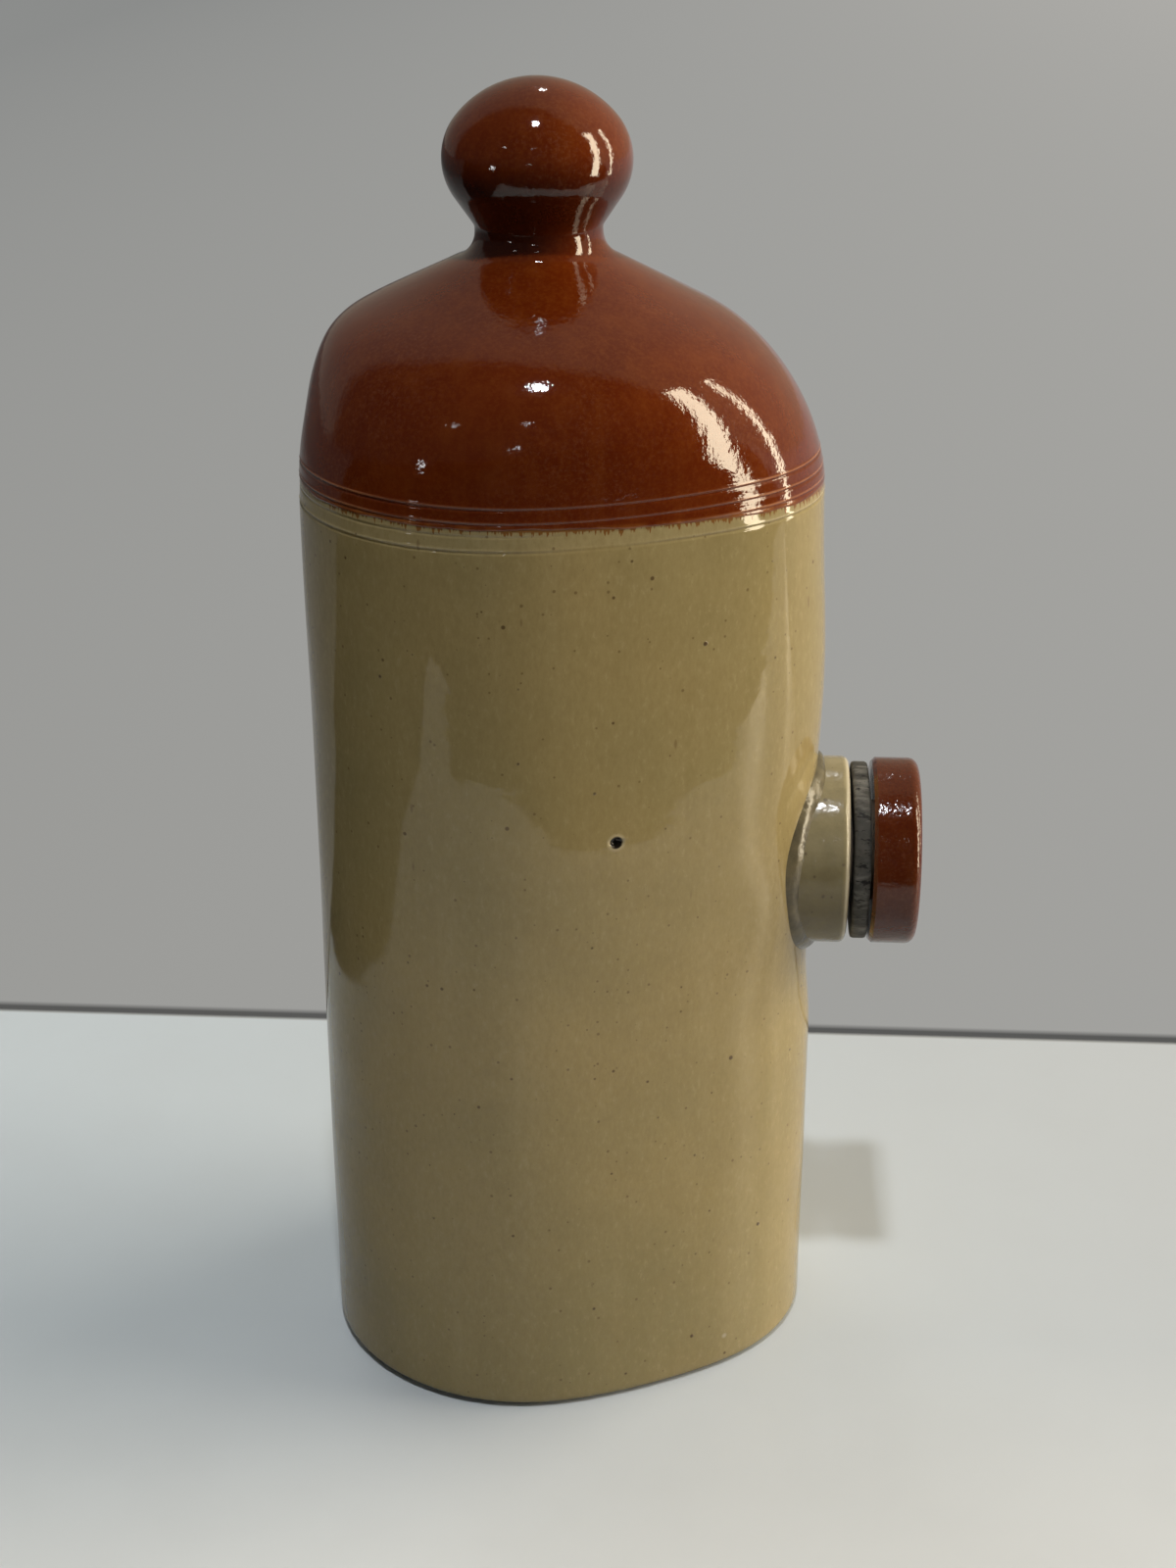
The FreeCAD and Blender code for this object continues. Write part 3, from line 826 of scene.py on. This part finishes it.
# Shelf: the pale board the bottle stands on. Past its back edge the ground glows like a wall, painted
# lighter to the right
SHELF_BACK = 0.125
SHELF_FRONT = -0.40            # only reflections show where it ends in front and at the sides
SHELF_LEFT = -0.225            # where its slanting left edge crosses y = 0
SHELF_LEFT_SLANT = 0.30
SHELF_CORNER = 0.42            # its right front corner is cut off at this reach
SHELF_CORNER_SLANT = 0.6


def beyond(tree, value, edge, softness):
    """1 where a coordinate is past an edge, 0 before it."""
    return remap(tree, value, edge - softness, edge + softness)


def add_floor():
    rings = []
    for radius in (0.02, 0.2, 1, 4, 12):
        rings.append([Vector((radius * math.cos(a), radius * math.sin(a), 0)) for a in ANGLES])
    floor = grid_mesh("shelf", rings, close_low=True)
    material, tree, shader, place = start_material("pale_shelf", Specular_IOR_Level=0.4)
    axes = node(tree, "ShaderNodeSeparateXYZ", {"Vector": place}).outputs
    behind = beyond(tree, axes["Y"], SHELF_BACK, 0.001)
    wander = calc(tree, "MULTIPLY", noise(tree, place, 9, 3), 0.16)
    ahead = remap(tree, calc(tree, "ADD", axes["Y"], wander), SHELF_FRONT + 0.085, SHELF_FRONT + 0.080)
    slant = calc(tree, "MULTIPLY", axes["Y"], -SHELF_LEFT_SLANT)
    aside = remap(tree, calc(tree, "ADD", axes["X"], slant), SHELF_LEFT + 0.005, SHELF_LEFT - 0.005)
    cut = calc(tree, "SUBTRACT", calc(tree, "MULTIPLY", axes["X"], SHELF_CORNER_SLANT), axes["Y"])
    corner = beyond(tree, cut, SHELF_CORNER, 0.004)
    past = calc(tree, "MAXIMUM", calc(tree, "MAXIMUM", ahead, aside), corner)
    past = calc(tree, "MULTIPLY", past, calc(tree, "SUBTRACT", 1, behind))
    grain = noise(tree, place, 35, 4)
    # painted light and shade: the shelf is darker and greyer to the right, bluer to the left, and lighter
    # towards the front
    colour = blend(tree, remap(tree, axes["X"], -0.3, 0.3), (0.52, 0.590, 0.63), (0.46, 0.475, 0.48))
    colour = blend(tree, remap(tree, axes["Y"], -0.02, -0.20, 0, 0.9), colour, (0.78, 0.775, 0.74))
    colour = blend(tree, remap(tree, grain, 0.4, 0.8, 0, 0.10), colour, (0.40, 0.41, 0.41))
    colour = blend(tree, behind, colour, (0.36, 0.365, 0.36))
    # painted shade: for all rays but the camera's the shelf is darker, and near black past its edges
    seen = node(tree, "ShaderNodeLightPath").outputs
    unseen = calc(tree, "SUBTRACT", 1, seen["Is Camera Ray"])
    dark = calc(tree, "MULTIPLY", unseen, calc(tree, "MAXIMUM", past, 0.3))
    colour = blend(tree, dark, colour, (0.05, 0.047, 0.043))
    tree.links.new(colour, shader.inputs["Base Color"])
    shader.inputs["Roughness"].default_value = 0.35
    # painted light: the wall glows, lighter towards the right where the window is
    wall = blend(tree, remap(tree, axes["X"], -1.0, 1.2), (0.26, 0.265, 0.26), (0.45, 0.44, 0.415))
    # painted shade: a dark line where the shelf meets the wall
    seam_shade = remap(tree, axes["Y"], SHELF_BACK + 0.003, SHELF_BACK + 0.006, 0.9, 0)
    wall = blend(tree, seam_shade, wall, (0.07, 0.07, 0.068))
    # painted shade: past the shelf's edges the glaze mirrors a near-black room
    mirrored_past = calc(tree, "MULTIPLY", past, seen["Is Glossy Ray"])
    wall = blend(tree, mirrored_past, wall, (0.025, 0.024, 0.022))
    # painted shade: mirrored in the glaze, the wall glows dimmer to the left
    dimmer = calc(tree, "MAXIMUM", seen["Is Camera Ray"], remap(tree, axes["X"], -0.9, 0.0, 0.3, 1.0))
    wall_glow = node(tree, "ShaderNodeEmission", {"Color": wall, "Strength": dimmer})
    looked_at = calc(tree, "MAXIMUM", seen["Is Camera Ray"], seen["Is Glossy Ray"])
    share = calc(tree, "MAXIMUM", calc(tree, "MULTIPLY", looked_at, behind), mirrored_past)
    mixer = node(tree, "ShaderNodeMixShader", {0: share, 1: shader.outputs[0], 2: wall_glow.outputs[0]})
    output = tree.nodes["Material Output"]
    tree.links.new(mixer.outputs[0], output.inputs["Surface"])
    dress(floor, material)


LAMP_AIM = Vector((0, 0, 0.2))


def add_light(name, azimuth, elevation, distance, width, height, power, colour=(1, 1, 1), roll=0):
    """Area lamp aimed at the bottle, in degrees, metres and watts. Azimuth 0 is in front, 90 at the neck."""
    turn = math.radians(azimuth)
    lift = math.radians(elevation)
    away = Vector((math.sin(turn) * math.cos(lift), -math.cos(turn) * math.cos(lift), math.sin(lift)))
    data = bpy.data.lights.new(name, "AREA")
    data.shape = "RECTANGLE"
    data.size = width
    data.size_y = height
    data.energy = power
    data.color = colour
    lamp = bpy.data.objects.new(name, data)
    lamp.location = LAMP_AIM + away * distance
    facing = away.to_track_quat("Z", "Y") @ Quaternion((0, 0, 1), math.radians(roll))
    lamp.rotation_euler = facing.to_euler()
    bpy.context.scene.collection.objects.link(lamp)
    return lamp


def add_fill(*settings):
    """Soft lamp that lights the surfaces but isn't mirrored in the glaze."""
    add_light(*settings).visible_glossy = False


def add_card(*settings):
    """Bright card that is only mirrored in the glaze."""
    add_light(*settings).visible_diffuse = False


def add_world():
    """Room air: a pale wall behind and at the sides, a dim room in front and overhead."""
    world = bpy.data.worlds.new("studio")
    world.use_nodes = True
    tree = world.node_tree
    place = node(tree, "ShaderNodeTexCoord").outputs["Generated"]
    axes = node(tree, "ShaderNodeSeparateXYZ", {"Vector": place}).outputs
    wall = blend(tree, remap(tree, axes["X"], -0.7, 0.7), (0.18, 0.18, 0.165), (0.42, 0.39, 0.29))
    turned = calc(tree, "ADD", axes["Y"], calc(tree, "MULTIPLY", axes["X"], 0.3))
    behind = remap(tree, turned, 0.03, 0.14)
    colour = blend(tree, behind, (0.035, 0.035, 0.036), wall)
    tree.links.new(colour, tree.nodes["Background"].inputs["Color"])
    bpy.context.scene.world = world


def add_lights():
    """Soft fills light the bottle; the cards stand for window panes and ceiling lamps in the glaze."""
    add_world()
    warm = (1.0, 0.90, 0.78)
    amber = (1.0, 0.86, 0.62)
    add_fill("right_window", 106, 5, 1.8, 2.0, 1.6, 98, warm)
    add_fill("back_left_fill", 212, 15, 2.2, 1.2, 1.0, 14)
    add_fill("front_fill", 5, 25, 2.2, 0.5, 0.5, 2.6)
    add_fill("ceiling_fill", 6, 69, 2.0, 0.10, 0.10, 21, (0.95, 0.97, 1.0))
    add_card("ceiling_spot", 2, 75, 2.0, 0.08, 0.15, 12, (0.90, 0.93, 1.0))
    add_card("right_strip", 80, 16, 0.76, 0.125, 0.84, 5.0, amber, -8)
    add_card("right_strip_narrow", 104, 14, 0.76, 0.045, 0.72, 1.4, amber, -8)
    add_card("ceiling_spot_back", 179, 53, 2.2, 0.08, 0.08, 3)
    add_card("front_pane", -3, 8, 2.0, 0.055, 0.08, 0.35)
    add_card("front_pane_high", 0, 34, 2.0, 0.04, 0.04, 0.14)
    add_card("left_pane", -48, -1, 1.5, 0.05, 0.10, 0.25)
    add_card("left_pane_high", -39, 31, 2.0, 0.04, 0.04, 0.14)


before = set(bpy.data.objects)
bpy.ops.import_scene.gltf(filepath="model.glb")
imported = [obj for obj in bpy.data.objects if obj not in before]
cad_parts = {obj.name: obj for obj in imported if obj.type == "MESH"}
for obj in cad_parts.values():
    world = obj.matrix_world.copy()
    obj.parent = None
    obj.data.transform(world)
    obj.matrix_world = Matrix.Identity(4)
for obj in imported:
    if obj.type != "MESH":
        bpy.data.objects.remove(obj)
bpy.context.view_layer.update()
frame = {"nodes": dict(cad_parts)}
add_camera()
dress_bottle(frame)
add_floor()
add_lights()
bpy.context.scene.view_settings.view_transform = "Standard"
